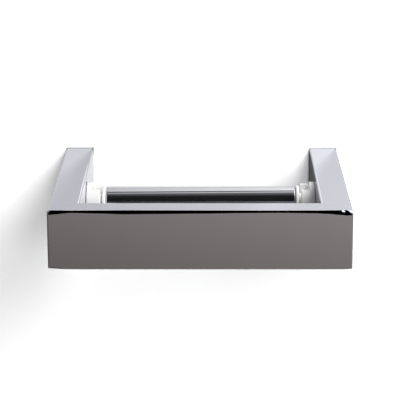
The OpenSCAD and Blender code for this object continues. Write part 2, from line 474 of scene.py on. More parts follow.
BOSS_BRASS = Finish("boss_brass", (0.66, 0.47, 0.19), metallic=1.0, roughness=0.32,
                    tone_spread=0.25, smudge_spread=0.15, smudge_scale=200.0,
                    line_height=0.008 * MM, line_stretch=(1.0, 0.05, 0.05))
AXLE_STEEL = Finish("axle_steel", (0.50, 0.50, 0.51), metallic=1.0, roughness=0.25,
                    tone_spread=0.1, smudge_spread=0.1, line_height=0.006 * MM,
                    line_stretch=(0.03, 1.0, 1.0))


# Mesh helpers


def arc(centre: Point2, radius: float, start: float, end: float, steps: int) -> list[Point2]:
    """Points along an arc.

    Args:
        centre: the arc's centre.
        radius: its radius.
        start: the first point's angle in degrees.
        end: the last point's angle in degrees.
        steps: the number of steps between them.

    Returns:
        The points, both ends included.
    """
    angles = [math.radians(start + (end - start) * i / steps) for i in range(steps + 1)]
    return [(centre[0] + radius * math.cos(angle), centre[1] + radius * math.sin(angle)) for angle in angles]


def quarter(steps: int) -> list[Point2]:
    """The cosines and sines of angles that rise evenly from 0 to 90 degrees."""
    return arc((0.0, 0.0), 1.0, 0.0, 90.0, steps)


def lerp(start: float, end: float, share: float) -> float:
    """The value that lies a share of the way from a start to an end."""
    return start + (end - start) * share


def middle_of(node: str) -> Vector:
    """The middle of a CAD node's box."""
    low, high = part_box(node)
    return (low + high) / 2


def ring_faces(bm: Mesh, rings: Sequence[Sequence[Vert]], closed: bool = True) -> None:
    """Joins rings of vertices with faces.

    Args:
        bm: the mesh under construction.
        rings: rings in order, of equal length or of one vertex.
        closed: whether each ring meets its own start.
    """
    count = max(len(ring) for ring in rings)
    for low, high in zip(rings, rings[1:]):
        for i in range(count if closed else count - 1):
            j = (i + 1) % count
            corners = (low[i % len(low)], low[j % len(low)], high[j % len(high)], high[i % len(high)])
            unique = list(dict.fromkeys(corners))
            if len(unique) > 2:
                bm.faces.new(unique)


def to_object(bm: Mesh, name: str, sharp_degrees: float = SHARP_DEGREES) -> Piece:
    """Turns a mesh under construction into a scene object with smooth faces and sharp edges.

    Args:
        bm: the mesh, which is freed.
        name: the new object's name.
        sharp_degrees: an edge with a greater angle stays sharp.

    Returns:
        The new object.
    """
    bmesh.ops.remove_doubles(bm, verts=bm.verts, dist=MERGE_DISTANCE)
    bmesh.ops.dissolve_degenerate(bm, edges=bm.edges, dist=SLIVER_DISTANCE)
    bmesh.ops.recalc_face_normals(bm, faces=bm.faces)
    made = bpy.data.objects.new(name, bpy.data.meshes.new(name))
    bpy.context.scene.collection.objects.link(made)
    bm.to_mesh(made.data)
    bm.free()
    mark_sharp(made, sharp_degrees)
    return made


def mark_sharp(piece: Piece, degrees: float = SHARP_DEGREES) -> None:
    """Smooths a mesh's faces and keeps its hard edges.

    Args:
        piece: the mesh object.
        degrees: an edge with a greater angle is marked as sharp.
    """
    bm = bmesh.new()
    bm.from_mesh(piece.data)
    for face in bm.faces:
        face.smooth = True
    for edge in bm.edges:
        edge.smooth = len(edge.link_faces) == 2 and edge.calc_face_angle(0.0) < math.radians(degrees)
    bm.to_mesh(piece.data)
    bm.free()


def apply_modifiers(piece: Piece) -> None:
    """Makes the result of a mesh object's modifiers its own mesh.

    Args:
        piece: the mesh object.
    """
    graph = bpy.context.evaluated_depsgraph_get()
    mesh = bpy.data.meshes.new_from_object(piece.evaluated_get(graph))
    mesh.name = piece.name
    piece.modifiers.clear()
    piece.data = mesh


def even_normals(piece: Piece) -> None:
    """Gives large flat faces their true normals and lets small ones blend between them.

    Args:
        piece: the mesh object.
    """
    weighted = piece.modifiers.new("even_normals", "WEIGHTED_NORMAL")
    weighted.keep_sharp = True
    weighted.weight = FLAT_FACE_WEIGHT
    apply_modifiers(piece)


def drill(piece: Piece, cutters: Sequence[Piece]) -> None:
    """Cuts solids out of a piece and deletes them.

    Args:
        piece: the mesh object to cut.
        cutters: closed mesh objects.
    """
    for cutter in cutters:
        cut = piece.modifiers.new("drill", "BOOLEAN")
        cut.operation = "DIFFERENCE"
        cut.solver = "EXACT"
        cut.object = cutter
        apply_modifiers(piece)
        bpy.data.objects.remove(cutter)


def lathe(name: str, outline: Sequence[Point2], at: Point2, steps: int, closed: bool = False) -> Piece:
    """Turns an outline round a line parallel to X.

    Args:
        name: the new object's name.
        outline: points as (x, radius); an open outline starts and ends on the line.
        at: the line's Y and Z.
        steps: the number of steps round.
        closed: whether the outline meets its own start.

    Returns:
        The turned object.
    """
    bm = bmesh.new()
    rings = []
    for x, radius in outline:
        turns = [2 * math.pi * i / steps for i in range(steps if radius else 1)]
        rings.append([bm.verts.new((x, at[0] + radius * math.cos(turn), at[1] + radius * math.sin(turn)))
                      for turn in turns])
    ring_faces(bm, rings + rings[:1] if closed else rings)
    return to_object(bm, name)


def rod(name: str, at: Point2, radius: float, ends: Sequence[float], upright: bool = False) -> Piece:
    """Makes a closed rod, level along X or upright.

    Args:
        name: its name.
        at: its Y and Z, or where it is upright its X and Y.
        radius: its radius.
        ends: where it starts and ends along its own line.
        upright: whether it stands upright.

    Returns:
        The rod.
    """
    low, high = ends
    outline = [(low, 0.0), (low, radius), (high, radius), (high, 0.0)]
    made = lathe(name, outline, (0.0, 0.0) if upright else at, ROD_STEPS)
    if upright:
        made.data.transform(Matrix.Translation((*at, 0.0)) @ Matrix.Rotation(-math.pi / 2, 4, "Y"))
    return made


def join_meshes(target: Piece, extras: Sequence[Piece]) -> None:
    """Adds other objects' meshes to a piece and deletes those objects.

    Args:
        target: the piece that is kept.
        extras: the objects whose meshes it takes.
    """
    bm = bmesh.new()
    bm.from_mesh(target.data)
    for extra in extras:
        bm.from_mesh(extra.data)
        bpy.data.objects.remove(extra)
    bm.to_mesh(target.data)
    bm.free()


# Sub-assemblies


@dataclass
class Materials:
    """Every material, built once at its first use, and the way a piece gets one."""

    effects: Effects = field(default_factory=Effects)
    made: dict[str, bpy.types.Material] = field(default_factory=dict)

    def dress(self, piece: Piece, finish: Finish) -> None:
        """Makes a finish the only one on a piece.

        Args:
            piece: the mesh object.
            finish: its finish.
        """
        if finish.name not in self.made:
            self.made[finish.name] = finish.material(self.effects)
        piece.data.materials.clear()
        piece.data.materials.append(self.made[finish.name])
        log.info("%s: %d faces in %s", piece.name, len(piece.data.polygons), finish.name)

    def settle(self, piece: Piece, body: Body, finish: Finish, *nodes: str) -> None:
        """Gives a finished piece its finish and its body, and hides the CAD nodes that it replaces.

        Args:
            piece: the finished object.
            body: the body it rides on.
            finish: its finish, whose name its material takes.
            nodes: the CAD nodes it replaces.
        """
        self.dress(piece, finish)
        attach(piece, body.value)
        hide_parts(*nodes)


@dataclass(frozen=True)
class Station:
    """One place along the U at which the skin of the frame has a section.

    The lines are plan view points: the outer and inner faces, and where the top and the
    bottom face end beside them. The drops are the heights of the rounded edges there. The top
    edge is an even round at crisp 0 and ends in a line at 1. Shrink is how far the faces stand back.
    """

    outer: Point2
    outer_top: Point2
    outer_bottom: Point2
    inner: Point2
    inner_top: Point2
    outer_drop: float
    bottom_drop: float
    crisp: float = 0.0
    shrink: float = 0.0


@dataclass
class HolderFrame:
    """The chromed U of rectangular tube: both arms and the front bar in one polished skin."""

    thickness: float = 16 * MM
    wall: float = 2.5 * MM
    arm_edge: float = 1.4 * MM
    inner_edge: float = 1.3 * MM
    bottom_edge: float = 0.5 * MM
    wall_edge: float = 0.4 * MM
    upright_edge: float = 0.75 * MM
    bottom_crown: float = 0.35 * MM
    # How the top turns at the left and the right front corner
    crown_edges: Point2 = (0.35 * MM, 2.2 * MM)
    # The front edge is a round up to this angle in degrees, then a share of its radius is left
    edge_turn: float = 53.0
    edge_left: float = 0.06
    # How far from their edges the top and the bottom face have extra points, as a share of their width
    held: float = 0.02
    sharp_degrees: float = 28.0
    fillet_steps: int = 9
    # How many of those steps the front edge takes up to its turn
    round_steps: int = 6
    bar_steps: int = 72
    arm_steps: int = 10
    corner_steps: int = 8
    wall_edge_steps: int = 4
    lock_gap: float = 0.05 * MM
    hole_gap: float = 0.15 * MM
    screw_radius: float = 2.0 * MM
    peg_radius: float = PEG_RADIUS
    peg_drop: float = PEG_DROP
    # How the hand polished front edge swells and thins: share of the half width, radius
    edge_wave: Stops = (
        (-1.0, 3.54 * MM), (-0.96, 2.99 * MM), (-0.84, 1.77 * MM), (-0.68, 2.18 * MM), (-0.5, 2.86 * MM),
        (-0.3, 2.65 * MM), (0.02, 2.31 * MM), (0.26, 1.9 * MM), (0.52, 1.7 * MM), (0.74, 2.04 * MM),
        (0.84, 2.58 * MM), (0.92, 3.54 * MM), (0.97, 4.35 * MM), (1.0, 3.94 * MM))
    # The same for the front bottom edge
    bottom_wave: Stops = (
        (-1.0, 2.2 * MM), (-0.95, 1.4 * MM), (-0.89, 0.6 * MM), (-0.8, 0.25 * MM), (0.95, 0.25 * MM),
        (1.0, 1.2 * MM))

    def __post_init__(self) -> None:
        """Reads the outer sizes from the CAD nodes and works out the main places."""
        low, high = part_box("front_bar")
        self.half_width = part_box("right_arm")[1].x
        self.half_height = high.z
        self.depth = -low.y
        # The inner faces, and the start of the squares in which the outer ones turn at the front corners
        self.inner_x = self.half_width - self.thickness
        self.straight = self.depth - self.thickness
        self.zone = max(radius for _, radius in self.edge_wave) + max(self.crown_edges)

    def wave(self, stops: Stops, x: float) -> float:
        """A polished edge's radius at a place along the bar.

        Args:
            stops: places as shares of the half width, and radii.
            x: the place.

        Returns:
            The radius there.
        """
        place = max(-1.0, min(1.0, x / self.half_width))
        for (start, first), (end, last) in zip(stops, stops[1:]):
            if place <= end:
                share = (place - start) / (end - start)
                return lerp(first, last, share * share * (3 - 2 * share))
        return stops[-1][1]

    def edge_profile(self, crisp: float) -> list[Point2]:
        """The profile of a rounded edge, in shares of its radius.

        Args:
            crisp: 0 for an even round, 1 for one that ends in a crisp line before the top face.

        Returns:
            Points as (inwards, up), from the outer face to the top face.
        """
        left = lerp(1.0, self.edge_left, crisp)
        limit = math.radians(self.edge_turn)
        rest = self.fillet_steps - self.round_steps
        angles = [limit * i / self.round_steps for i in range(self.round_steps)]
        angles += [lerp(limit, math.pi / 2, i / rest) for i in range(rest + 1)]
        points = []
        for angle in angles:
            low = min(angle, limit)
            inwards = 1 - math.cos(low) + left * (math.cos(low) - math.cos(angle))
            points.append((inwards, math.sin(low) + left * (math.sin(angle) - math.sin(low))))
        return points

    def edge_reach(self, radius: float, crisp: float) -> Point2:
        """How far an edge of a radius reaches along the top and down the face."""
        inwards, up = self.edge_profile(crisp)[-1]
        return radius * inwards, radius * up

    def plan(self, side: Side, x: float, y: float) -> Point2:
        """The plan view point on a side, by its distances from the middle and the wall."""
        return side.value * x, -y

    def turned(self, side: Side, part: float, insets: Point2, radius: float) -> Point2:
        """A point on a line that turns through a front corner zone: straight, round, straight.

        Args:
            side: which corner.
            part: how far through: 0 to 1 along the arm, to 2 round the corner, to 3 along the bar.
            insets: the line's distances inside the arm's outer face and the bar's front face.
            radius: the radius it turns with.

        Returns:
            The point's X and Y.
        """
        far_x, far_y = self.half_width - insets[0], self.depth - insets[1]
        if part < 1:
            return self.plan(side, far_x, lerp(self.depth - self.zone, far_y - radius, part))
        if part > 2:
            return self.plan(side, lerp(far_x - radius, self.half_width - self.zone, part - 2), far_y)
        angle = math.pi / 2 * (part - 1)
        return self.plan(side, far_x - radius + radius * math.cos(angle),
                         far_y - radius + radius * math.sin(angle))

    def arm_station(self, side: Side, y: float, shrink: float = 0.0) -> Station:
        """The section of an arm.

        Args:
            side: which arm.
            y: the distance from the wall.
            shrink: how far its faces stand back where the wall end is eased.

        Returns:
            The station.
        """
        inner_top_y = y if y < self.straight else self.straight + self.inner_edge
        return Station(
            outer=self.plan(side, self.half_width, y),
            outer_top=self.plan(side, self.half_width - self.arm_edge, y),
            outer_bottom=self.plan(side, self.half_width - self.bottom_edge, y),
            inner=self.plan(side, self.inner_x, min(y, self.straight)),
            inner_top=self.plan(side, self.inner_x + self.inner_edge, inner_top_y),
            outer_drop=self.arm_edge,
            bottom_drop=self.bottom_edge,
            shrink=shrink)

    def corner_station(self, side: Side, part: float) -> Station:
        """The section in a front corner zone.

        Args:
            side: which corner.
            part: how far through the zone, from 0 at the arm to 3 at the bar.

        Returns:
            The station.
        """
        place = side.value * lerp(self.half_width, self.half_width - self.zone, max(0.0, part - 2))
        bar_bottom = self.wave(self.bottom_wave, place)
        bend = max(0.0, min(1.0, part - 1))
        bar_inset, bar_drop = self.edge_reach(self.wave(self.edge_wave, place), bend)
        crown = side.of(self.crown_edges)
        return Station(
            outer=self.turned(side, part, (0.0, 0.0), self.upright_edge),
            outer_top=self.turned(side, part, (self.arm_edge, bar_inset), crown),
            outer_bottom=self.turned(side, part, (self.bottom_edge, bar_bottom), self.bottom_crown),
            inner=self.plan(side, self.inner_x, self.straight),
            inner_top=self.plan(side, self.inner_x + self.inner_edge, self.straight + self.inner_edge),
            outer_drop=lerp(self.arm_edge, bar_drop, bend),
            bottom_drop=lerp(self.bottom_edge, bar_bottom, bend),
            crisp=bend)

    def bar_station(self, x: float) -> Station:
        """The section of the front bar.

        Args:
            x: the place along it.

        Returns:
            The station.
        """
        inner_x = max(-self.inner_x, min(self.inner_x, x))
        top_x = inner_x if abs(x) < self.inner_x else math.copysign(self.inner_x + self.inner_edge, x)
        bottom = self.wave(self.bottom_wave, x)
        inset, drop = self.edge_reach(self.wave(self.edge_wave, x), 1.0)
        return Station(
            outer=(x, -self.depth),
            outer_top=(x, -self.depth + inset),
            outer_bottom=(x, -self.depth + bottom),
            inner=(inner_x, -self.straight),
            inner_top=(top_x, -self.straight - self.inner_edge),
            outer_drop=drop,
            bottom_drop=bottom,
            crisp=1.0)

    def half_stations(self, side: Side) -> list[Station]:
        """The sections of an arm and its front corner.

        Args:
            side: which arm.

        Returns:
            The stations from the wall to the bar.
        """
        eased = arc((self.wall_edge, self.wall_edge), self.wall_edge, 180, 270, self.wall_edge_steps)
        made = [self.arm_station(side, y, shrink) for y, shrink in eased]
        corner = self.depth - self.zone
        places = [lerp(0.0, self.straight, i / self.arm_steps) for i in range(1, self.arm_steps + 1)]
        places += [(self.straight + corner) / 2, corner]
        made += [self.arm_station(side, y) for y in places]
        made += [self.corner_station(side, i / self.corner_steps) for i in range(1, 3 * self.corner_steps)]
        return made

    def stations(self) -> list[Station]:
        """All sections.

        Returns:
            The stations from the left arm's wall end round to the right one's.
        """
        reach = self.half_width - self.zone
        places = [lerp(-reach, reach, i / self.bar_steps) for i in range(self.bar_steps + 1)]
        bar = [self.bar_station(x) for x in sorted(places + [-self.inner_x, self.inner_x])]
        return self.half_stations(Side.LEFT) + bar + self.half_stations(Side.RIGHT)[::-1]

    def section(self, at: Station) -> list[tuple[TubeEdge, Vector]]:
        """The closed outline of the skin at a station.

        Args:
            at: the station.

        Returns:
            Points up the outer face, across the top and down the inner face, each with the edge
            of the tube that it lies at.
        """
        top = self.half_height
        turn = quarter(self.fillet_steps)
        profile = self.edge_profile(at.crisp)
        full_inwards, full_up = profile[-1]

        def between(first: Point2, second: Point2, share: float, z: float) -> Vector:
            """A point a share of the way between two plan points, at a height."""
            return Vector((lerp(first[0], second[0], share), lerp(first[1], second[1], share), z))

        ring = [(TubeEdge.OUTER_BOTTOM,
                 between(at.outer_bottom, at.outer, sin, at.bottom_drop * (1 - cos) - top))
                for cos, sin in turn]
        ring += [(TubeEdge.OUTER_TOP, between(at.outer, at.outer_top, inwards / full_inwards,
                                              top - at.outer_drop * (1 - up / full_up)))
                 for inwards, up in profile]
        ring += [(TubeEdge.OUTER_TOP, between(at.outer_top, at.inner_top, self.held, top)),
                 (TubeEdge.INNER_TOP, between(at.inner_top, at.outer_top, self.held, top))]
        ring += [(TubeEdge.INNER_TOP,
                  between(at.inner_top, at.inner, sin, top - self.inner_edge * (1 - cos)))
                 for cos, sin in turn]
        ring += [(TubeEdge.INNER_BOTTOM,
                  between(at.inner, at.inner_top, 1 - cos, self.inner_edge * (1 - sin) - top))
                 for cos, sin in turn]
        ring += [(TubeEdge.INNER_BOTTOM, between(at.inner_top, at.outer_bottom, self.held, -top)),
                 (TubeEdge.OUTER_BOTTOM, between(at.outer_bottom, at.inner_top, self.held, -top))]
        if at.shrink:
            middle = (at.outer[0] + at.inner[0]) / 2
            for _, point in ring:
                point.x = lerp(point.x, middle, 2 * at.shrink / self.thickness)
                point.z *= 1 - at.shrink / top
        return ring

    def hollow(self) -> list[list[Vector]]:
        """The inside of the tube: one square section at each wall end and at each mitre.

        Returns:
            The sections in order, each with its corners in the order of the tube's edges.
        """
        outer = self.half_width - self.wall
        inner = self.inner_x + self.wall
        far = -(self.depth - self.wall)
        near = -(self.straight + self.wall)
        half = self.half_height - self.wall
        plan = [((-outer, 0.0), (-inner, 0.0)), ((-outer, far), (-inner, near)),
                ((outer, far), (inner, near)), ((outer, 0.0), (inner, 0.0))]
        return [[Vector((*out, -half)), Vector((*out, half)), Vector((*into, half)), Vector((*into, -half))]
                for out, into in plan]

    def cutters(self, side: Side) -> list[Piece]:
        """The holes for one side's lock screw, cradle screw and cradle peg.

        Args:
            side: which side.

        Returns:
            One closed solid for each hole.
        """
        low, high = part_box(f"{side.word}_lock_screw")
        lock = (low + high) / 2
        lock_radius = (high.x - low.x) / 2 + self.lock_gap
        through = (-self.half_height - self.wall, -self.half_height + 2 * self.wall)
        screw = middle_of(f"{side.word}_threaded_boss")
        ends = sorted((side.value * (self.inner_x - self.wall), side.value * (self.inner_x + 2 * self.wall)))
        return [rod("lock_hole", (lock.x, lock.y), lock_radius, through, upright=True),
                rod("screw_hole", (screw.y, screw.z), self.screw_radius + self.hole_gap, ends),
                rod("peg_hole", (screw.y, screw.z - self.peg_drop), self.peg_radius + self.hole_gap, ends)]

    def build(self, materials: Materials) -> None:
        """Builds the skin.

        Args:
            materials: every material.
        """
        bm = bmesh.new()
        sections = [self.section(station) for station in self.stations()]
        rings = [[bm.verts.new(point) for _, point in section] for section in sections]
        hollow = [[bm.verts.new(point) for point in corners] for corners in self.hollow()]
        ring_faces(bm, rings)
        ring_faces(bm, hollow)
        for end in (0, -1):
            ring_faces(bm, [rings[end], [hollow[end][edge] for edge, _ in sections[end]]])
        piece = to_object(bm, "frame_shell", self.sharp_degrees)
        for side in Side:
            drill(piece, self.cutters(side))
        mark_sharp(piece, self.sharp_degrees)
        even_normals(piece)
        materials.settle(piece, Body.FRAME, FRAME_CHROME, "front_bar", "left_arm", "right_arm")


@dataclass(frozen=True)
class Stretch:
    """An arc of the cradle's outline. The radius of its rim may change from its start to its end."""

    centre: Point2
    radius: float
    angles: Point2
    steps: int
    rims: Point2
    # 1 where the plastic lies inside the arc, -1 where it lies outside
    outward: float = 1.0

    def points(self) -> list[tuple[Point2, Point2, float]]:
        """The arc's points.

        Returns:
            Entries of (place, outward direction, rim radius).
        """
        made = []
        for i, (y, z) in enumerate(arc(self.centre, self.radius, *self.angles, self.steps)):
            reach = self.outward * self.radius
            direction = ((y - self.centre[0]) / reach, (z - self.centre[1]) / reach)
            made.append(((y, z), direction, lerp(*self.rims, i / self.steps)))
        return made


@dataclass
class Cradle:
    """One white cradle: a round boss with an open-topped slot that the roller's pin drops into."""

    side: Side
    base: float = 3.2 * MM
    slot_width: float = 11.8 * MM
    seat_gap: float = 0.2 * MM
    pin_radius: float = PIN_RADIUS
    rim: float = 0.8 * MM
    slot_rim: float = 0.35 * MM
    lip: float = 0.8 * MM
    top_rim: float = 0.5 * MM
    back_rim: float = 0.5 * MM
    # The share of the base's top at each end over which its rim grows
    top_ease: float = 0.2
    peg_radius: float = PEG_RADIUS
    peg_drop: float = PEG_DROP
    head_radius: float = 3.95 * MM
    screw_radius: float = 2.15 * MM
    outside_steps: int = 88
    lip_steps: int = 10
    slot_steps: int = 36
    rim_steps: int = 5
    top_steps: int = 32
    base_rim_steps: int = 4

    def __post_init__(self) -> None:
        """Reads the place and the outer sizes from the CAD nodes."""
        low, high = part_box(f"{self.side.word}_cradle")
        self.axis_y = (low.y + high.y) / 2
        self.axis_z = (low.z + high.z) / 2
        self.radius = (high.z - low.z) / 2
        self.face, self.peg_end = self.side.outwards("cradle")
        self.back = self.side.outwards("arm")[0]
        self.floor = self.back - self.base

    def outline(self) -> list[tuple[Point2, Point2, float]]:
        """The horseshoe seen from the roller, round the axis.

        Returns:
            Points as (place, outward direction, rim radius): first the round outside from right to
            left, then the left lip, the slot and the right lip.
        """
        half = self.slot_width / 2
        slot_z = half - self.pin_radius - self.seat_gap
        lip_y = half + self.lip
        lip_z = math.sqrt((self.radius - self.lip) ** 2 - lip_y ** 2)
        lean = math.degrees(math.atan2(lip_z, lip_y))
        stretches = [
            Stretch((0.0, 0.0), self.radius, (lean, -180 - lean), self.outside_steps, (self.rim, self.rim)),
            Stretch((-lip_y, lip_z), self.lip, (180 - lean, 0.0), self.lip_steps, (self.rim, self.slot_rim)),
            Stretch((0.0, slot_z), half, (180.0, 360.0), self.slot_steps, (self.slot_rim, self.slot_rim),
                    outward=-1.0),
            Stretch((lip_y, lip_z), self.lip, (180.0, lean), self.lip_steps, (self.slot_rim, self.rim))]
        return [point for stretch in stretches for point in stretch.points()]

    def vertex(self, bm: Mesh, x: float, place: Point2) -> Vert:
        """Adds a vertex at a distance out from the middle and a place round the axis."""
        return bm.verts.new((self.side.value * x, self.axis_y + place[0], self.axis_z + place[1]))

    def build(self, materials: Materials) -> None:
        """Builds the cradle.

        Args:
            materials: every material.
        """
        bm = bmesh.new()
        outline = self.outline()
        rings = []
        for cos, sin in quarter(self.rim_steps):
            rings.append([self.vertex(bm, self.face + rim * (1 - cos),
                                      (y - out_y * rim * (1 - sin), z - out_z * rim * (1 - sin)))
                          for (y, z), (out_y, out_z), rim in outline])
        rings.append([self.vertex(bm, self.floor, place) for place, _, _ in outline])
        ring_faces(bm, rings)
        bm.faces.new(rings[0])
        self.add_base(bm, rings[-1])
        piece = to_object(bm, f"{self.side.word}_cradle_body")
        drill(piece, [self.countersink()])
        mark_sharp(piece)
        ends = sorted((self.side.value * (self.back - self.base / 2), self.side.value * self.peg_end))
        join_meshes(piece, [rod("peg", (self.axis_y, self.axis_z - self.peg_drop), self.peg_radius, ends)])
        even_normals(piece)
        materials.settle(piece, Body.FRAME, CRADLE_PLASTIC, f"{self.side.word}_cradle")

    def add_base(self, bm: Mesh, seam: list[Vert]) -> None:
        """Adds the round base behind the slot.

        Args:
            bm: the mesh under construction.
            seam: the horseshoe's ring at the depth of the slot's floor.
        """
        outside, inside = seam[:self.outside_steps + 1], seam[self.outside_steps + 1:]
        right, left = outside[0], outside[-1]
        start, end = (math.atan2(vert.co.z - self.axis_z, vert.co.y - self.axis_y) for vert in (left, right))
        arcs = []
        for cos, sin in quarter(self.base_rim_steps):
            row = [left]
            for share in (j / self.top_steps for j in range(1, self.top_steps)):
                rim = self.top_rim * min(1.0, share / self.top_ease, (1 - share) / self.top_ease)
                radius = self.radius - rim * (1 - sin)
                turn = lerp(start, end, share)
                place = (radius * math.cos(turn), radius * math.sin(turn))
                row.append(self.vertex(bm, self.floor + rim * (1 - cos), place))
            arcs.append(row + [right])
        ring_faces(bm, arcs, closed=False)
        bm.faces.new(inside + arcs[0][::-1])
        full = outside + arcs[-1][1:-1]
        places = [(vert.co.y - self.axis_y, vert.co.z - self.axis_z) for vert in full]
        rings = [full]
        for cos, sin in quarter(self.base_rim_steps):
            share = 1 - self.back_rim * (1 - cos) / self.radius
            rings.append([self.vertex(bm, self.back - self.back_rim * (1 - sin), (y * share, z * share))
                          for y, z in places])
        ring_faces(bm, rings)
        bm.faces.new(rings[-1])

    def countersink(self) -> Piece:
        """The hole for the countersunk screw in the slot's floor.

        Returns:
            A closed solid.
        """
        cone = self.head_radius - self.screw_radius
        over = self.base / 4
        outline = [(self.floor - over, 0.0), (self.floor - over, self.head_radius),
                   (self.floor, self.head_radius), (self.floor + cone, self.screw_radius),
                   (self.back + over, self.screw_radius), (self.back + over, 0.0)]
        mirrored = [(self.side.value * x, radius) for x, radius in outline]
        return lathe("countersink", mirrored, (self.axis_y, self.axis_z), ROD_STEPS)


@dataclass
class Roller:
    """The roller: a chromed tube that turns on two white end plugs."""

    tube_wall: float = 1.0 * MM
    tube_end: float = 0.85 * MM
    tube_bevel: float = 0.3 * MM
    shoulder_gap: float = 0.2 * MM
    flange_thickness: float = 1.9 * MM
    pin_radius: float = PIN_RADIUS
    pin_bevel: float = 0.6 * MM
    pin_root: float = 0.4 * MM
    running_gap: float = 0.05 * MM
    journal_wall: float = 1.5 * MM
    web: float = 2.0 * MM
    hub_radius: float = 4.1 * MM
    axle_radius: float = 2.5 * MM
    rib: float = 1.4 * MM
    # How far each rib reaches into the journal, the hub and the web
    rib_root: float = 0.5 * MM
    rib_count: int = 4
    tube_steps: int = 192
    tube_cuts: int = 24
    tube_end_steps: int = 10
    plug_steps: int = 144
    pin_bevel_steps: int = 6
    pin_root_steps: int = 4
    flange_steps: int = 14

    def __post_init__(self) -> None:
        """Reads the place and the main sizes from the CAD nodes and works out the plugs' own."""
        low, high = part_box("roller_tube")
        self.at = ((low.y + high.y) / 2, (low.z + high.z) / 2)
        self.tube_radius = (high.z - low.z) / 2
        self.tube_half = high.x
        low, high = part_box("right_end_plug")
        self.flange_radius = (high.z - low.z) / 2
        self.journal_start = low.x
        self.pin_end = high.x
        self.shoulder = self.tube_half + self.shoulder_gap
        self.journal = self.tube_radius - self.tube_wall - self.running_gap
        self.hollow = self.journal - self.journal_wall
        self.web_x = self.shoulder - self.web

    def tube(self, materials: Materials) -> None:
        """Builds the thin chromed tube, its ends rolled over towards the bore.

        Args:
            materials: every material.
        """
        outer, bore = self.tube_radius, self.tube_radius - self.tube_wall
        end_x = self.tube_half - self.tube_end
        right = arc((end_x, outer - self.tube_end), self.tube_end, 90, 0, self.tube_end_steps)
        right += [(self.tube_half, bore + self.tube_bevel / 2), (self.tube_half - self.tube_bevel, bore)]
        left = [(-x, radius) for x, radius in reversed(right)]
        middle = [(lerp(-end_x, end_x, i / self.tube_cuts), outer) for i in range(1, self.tube_cuts)]
        piece = lathe("roller_sleeve_tube", left + middle + right, self.at, self.tube_steps, closed=True)
        even_normals(piece)
        materials.settle(piece, Body.SLEEVE, ROLLER_CHROME, "roller_tube")

    def plug(self, side: Side, materials: Materials) -> None:
        """Builds one end plug: hollow ribbed journal, flange and pin.

        Args:
            side: which end.
            materials: every material.
        """
        pin, bevel, root, rim = self.pin_radius, self.pin_bevel, self.pin_root, self.flange_thickness / 2
        flange_x = self.shoulder + self.flange_thickness
        outline = [(self.pin_end, 0.0)]
        outline += arc((self.pin_end - bevel, pin - bevel), bevel, 0, 90, self.pin_bevel_steps)
        outline += arc((flange_x + root, pin + root), root, 270, 180, self.pin_root_steps)
        outline += arc((self.shoulder + rim, self.flange_radius - rim), rim, 0, 180, self.flange_steps)
        outline += [(self.shoulder, self.journal), (self.journal_start, self.journal),
                    (self.journal_start, self.hollow), (self.web_x, self.hollow),
                    (self.web_x, self.hub_radius), (self.journal_start, self.hub_radius),
                    (self.journal_start, self.axle_radius), (self.web_x, self.axle_radius), (self.web_x, 0.0)]
        mirrored = [(side.value * x, radius) for x, radius in outline]
        piece = lathe(f"{side.word}_plug_moulding", mirrored, self.at, self.plug_steps)
        join_meshes(piece, [self.rib_plate(side, i) for i in range(self.rib_count)])
        even_normals(piece)
        materials.settle(piece, Body.CORE, PLUG_PLASTIC, f"{side.word}_end_plug")

    def rib_plate(self, side: Side, index: int) -> Piece:
        """One rib between the hub and the journal of a plug.

        Args:
            side: which plug.
            index: which rib.

        Returns:
            The rib as an object.
        """
        length = self.web_x - self.journal_start + self.rib_root
        height = self.hollow - self.hub_radius + 2 * self.rib_root
        centre = (side.value * (self.journal_start + length / 2), 0.0, (self.hollow + self.hub_radius) / 2)
        turn = 2 * math.pi * index / self.rib_count
        bm = bmesh.new()
        bmesh.ops.create_cube(bm, size=1.0)
        bm.transform(Matrix.Diagonal((length, self.rib, height, 1.0)))
        bm.transform(Matrix.Translation(centre))
        bm.transform(Matrix.Rotation(turn, 4, "X"))
        bm.transform(Matrix.Translation((0.0, *self.at)))
        return to_object(bm, "rib")

    def build(self, materials: Materials) -> None:
        """Builds the tube and both plugs.

        Args:
            materials: every material.
        """
        self.tube(materials)
        for side in Side:
            self.plug(side, materials)


@dataclass
class Fittings:
    """The CAD nodes that stay as they are and only get their finish."""

    finishes: tuple[tuple[str, Finish], ...] = (
        ("wall_bracket", BRACKET_STEEL), ("lock_screw", SCREW_STEEL),
        ("cradle_screw", SCREW_STEEL), ("threaded_boss", BOSS_BRASS))

    def build(self, materials: Materials) -> None:
        """Gives each remaining node its finish.

        Args:
            materials: every material.
        """
        names = [(f"{side.word}_{word}", finish) for side in Side for word, finish in self.finishes]
        for name, finish in names + [("axle_rod", AXLE_STEEL)]:
            materials.dress(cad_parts[name], finish)


# Studio


def stage_sheet(name: str, corners: Sequence[Point3], material: bpy.types.Material) -> Piece:
    """Adds one flat sheet to the stage.

    Args:
        name: its name.
        corners: its corners in order.
        material: its material.

    Returns:
        The sheet.
    """
    mesh = bpy.data.meshes.new(name)
    mesh.from_pydata(corners, [], [range(len(corners))])
    mesh.materials.append(material)
    made = bpy.data.objects.new(name, mesh)
    bpy.context.scene.collection.objects.link(made)
    made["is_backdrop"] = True
    return made


def rectangle(half: float, first: float, second: float) -> list[Point2]:
    """The corners of a rectangle that is as wide to both sides."""
    return [(-half, first), (half, first), (half, second), (-half, second)]


